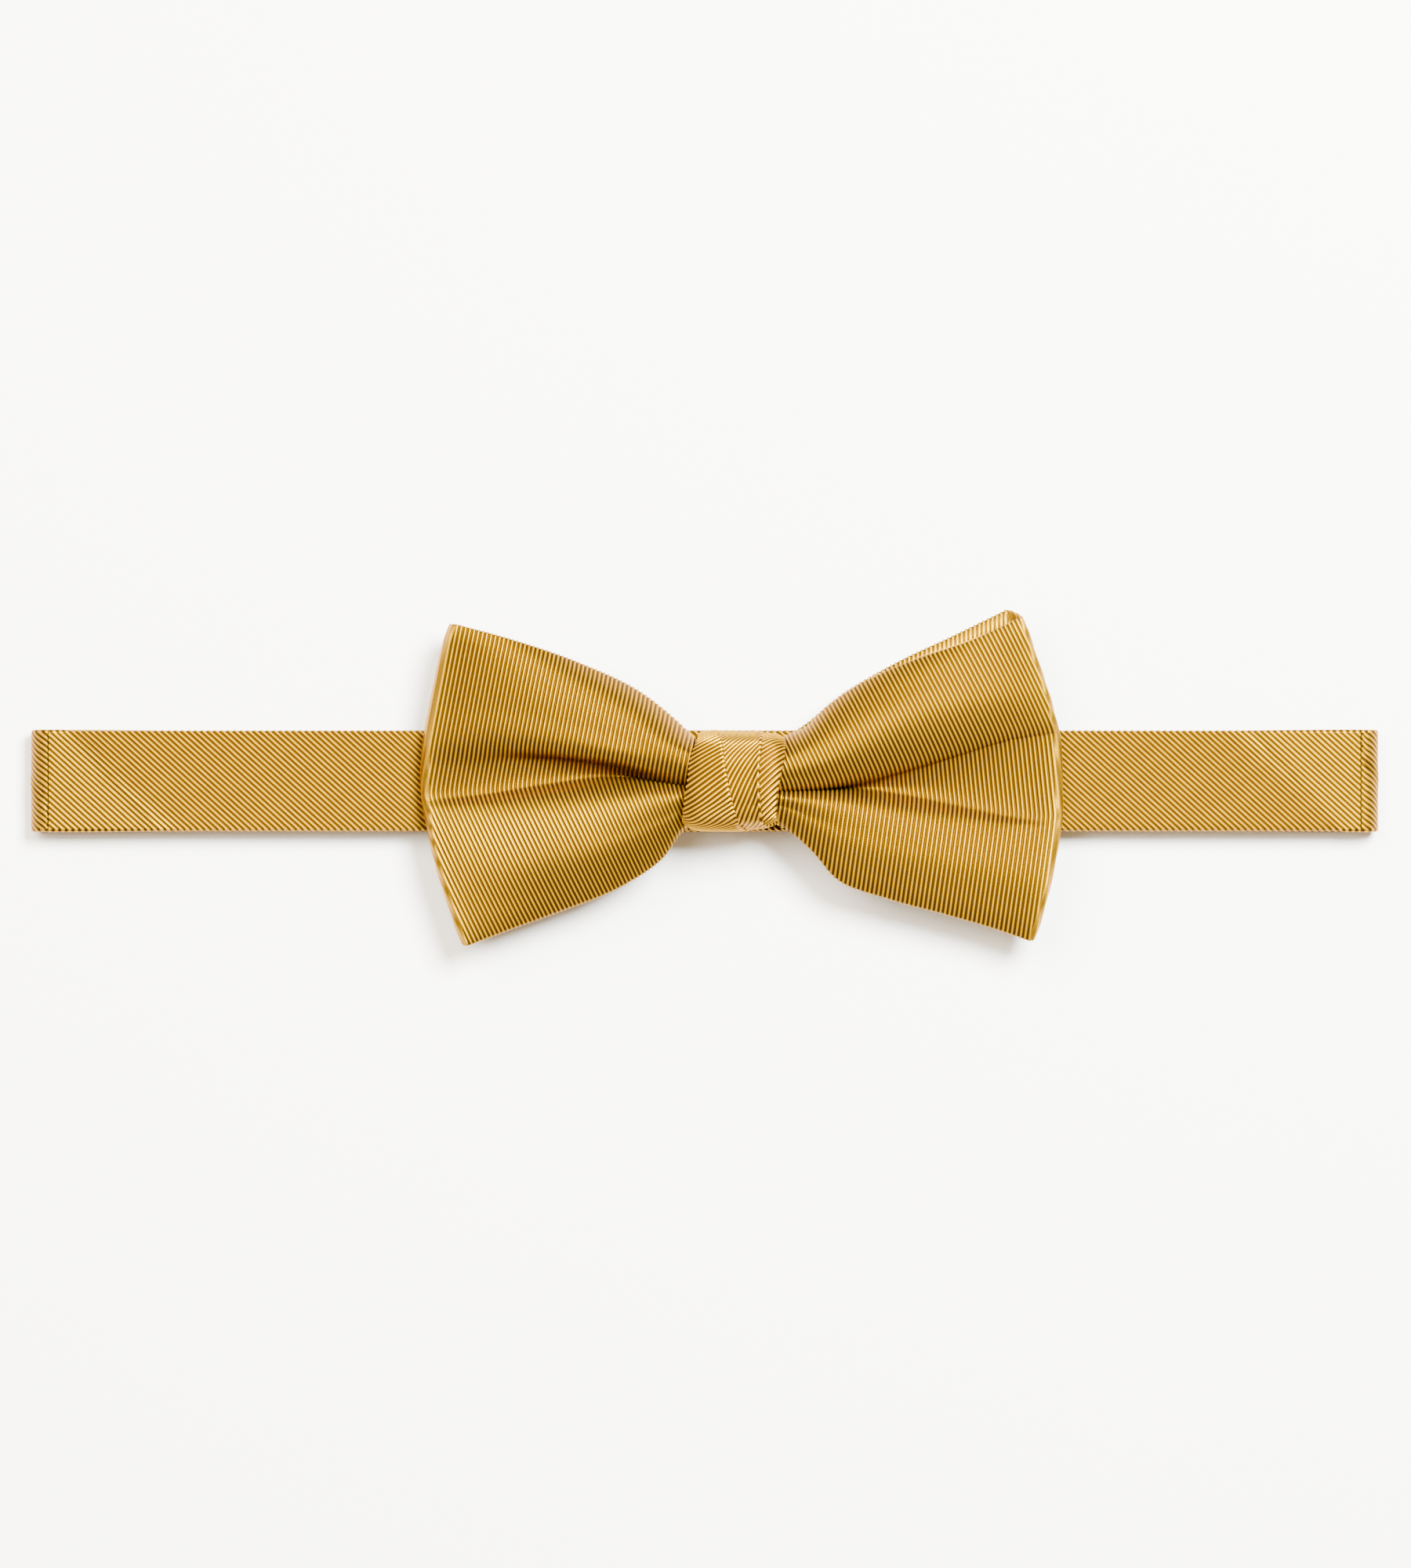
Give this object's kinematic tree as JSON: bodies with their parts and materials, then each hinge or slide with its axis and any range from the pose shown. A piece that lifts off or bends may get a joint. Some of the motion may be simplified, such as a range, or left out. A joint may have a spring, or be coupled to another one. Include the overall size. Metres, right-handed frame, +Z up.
{
  "type": "pre-tied bow tie",
  "caption": "Pre-tied bow of ribbed cloth with a pleated knot, on an adjustable neckband folded flat into a loop.",
  "frame": {"origin": "on the table, under the middle of the flattened neckband's length and of the bow's height", "axes": "+X along the neckband towards the bow's wider right wing, +Y towards the bow's upper edge, +Z up from the table"},
  "size_m": [0.2524, 0.0624, 0.02],
  "materials": {
    "ribbed_cloth": "gold ribbed faille, satin sheen",
    "canvas": "matt woven interlining",
    "wadding": "soft needled wadding",
    "thread": "twisted polyester thread",
    "metal": "pale gold plated, polished"
  },
  "bodies": {
    "bow_and_front": {"bow_strip": "ribbed_cloth", "bow_canvas_front_left": "canvas", "bow_canvas_back_left": "canvas", "bow_canvas_front_right": "canvas", "bow_canvas_back_right": "canvas", "gathering_thread": "thread", "knot_padding": "wadding", "knot_wrap": "ribbed_cloth", "knot_back_stitches": "thread", "neckband_front": "ribbed_cloth", "front_interlining": "canvas", "neckband_left_fold": "ribbed_cloth", "neckband_right_fold": "ribbed_cloth"},
    "hook_half": {"neckband_hook_half": "ribbed_cloth", "hook_half_interlining": "canvas", "hook_strap_tack": "thread"},
    "eye_half": {"neckband_eye_half": "ribbed_cloth", "eye_half_interlining": "canvas", "adjuster_tail": "ribbed_cloth"},
    "hook": {"hook": "metal"},
    "eye": {"eye": "metal"},
    "slide": {"slide_adjuster": "metal", "adjuster_tail_end": "ribbed_cloth", "tail_tack": "thread"}
  },
  "joints": [
    {"name": "open_hook_half", "type": "hinge", "parent": "bow_and_front", "child": "hook_half", "pos_m": [-0.1228, -0.0007, 0.0034], "axis": [0, 1, 0], "range_deg": [0, 180], "deforming": ["neckband_left_fold"]},
    {"name": "open_eye_half", "type": "hinge", "parent": "bow_and_front", "child": "eye_half", "pos_m": [0.1228, -0.0007, 0.0034], "axis": [0, -1, 0], "range_deg": [0, 180], "deforming": ["neckband_right_fold"]},
    {"name": "hook_swing", "type": "hinge", "parent": "hook_half", "child": "hook", "pos_m": [-0.0378, -0.0007, 0.00145], "axis": [0, 1, 0], "range_deg": [0, 70]},
    {"name": "eye_swing", "type": "hinge", "parent": "eye_half", "child": "eye", "pos_m": [-0.0122, -0.0007, 0.00145], "axis": [0, -1, 0], "range_deg": [-8, 70]},
    {"name": "slide_adjust", "type": "slide", "parent": "eye_half", "child": "slide", "axis": [-1, 0, 0], "range_m": [0, 0.024], "deforming": ["adjuster_tail"]}
  ]
}
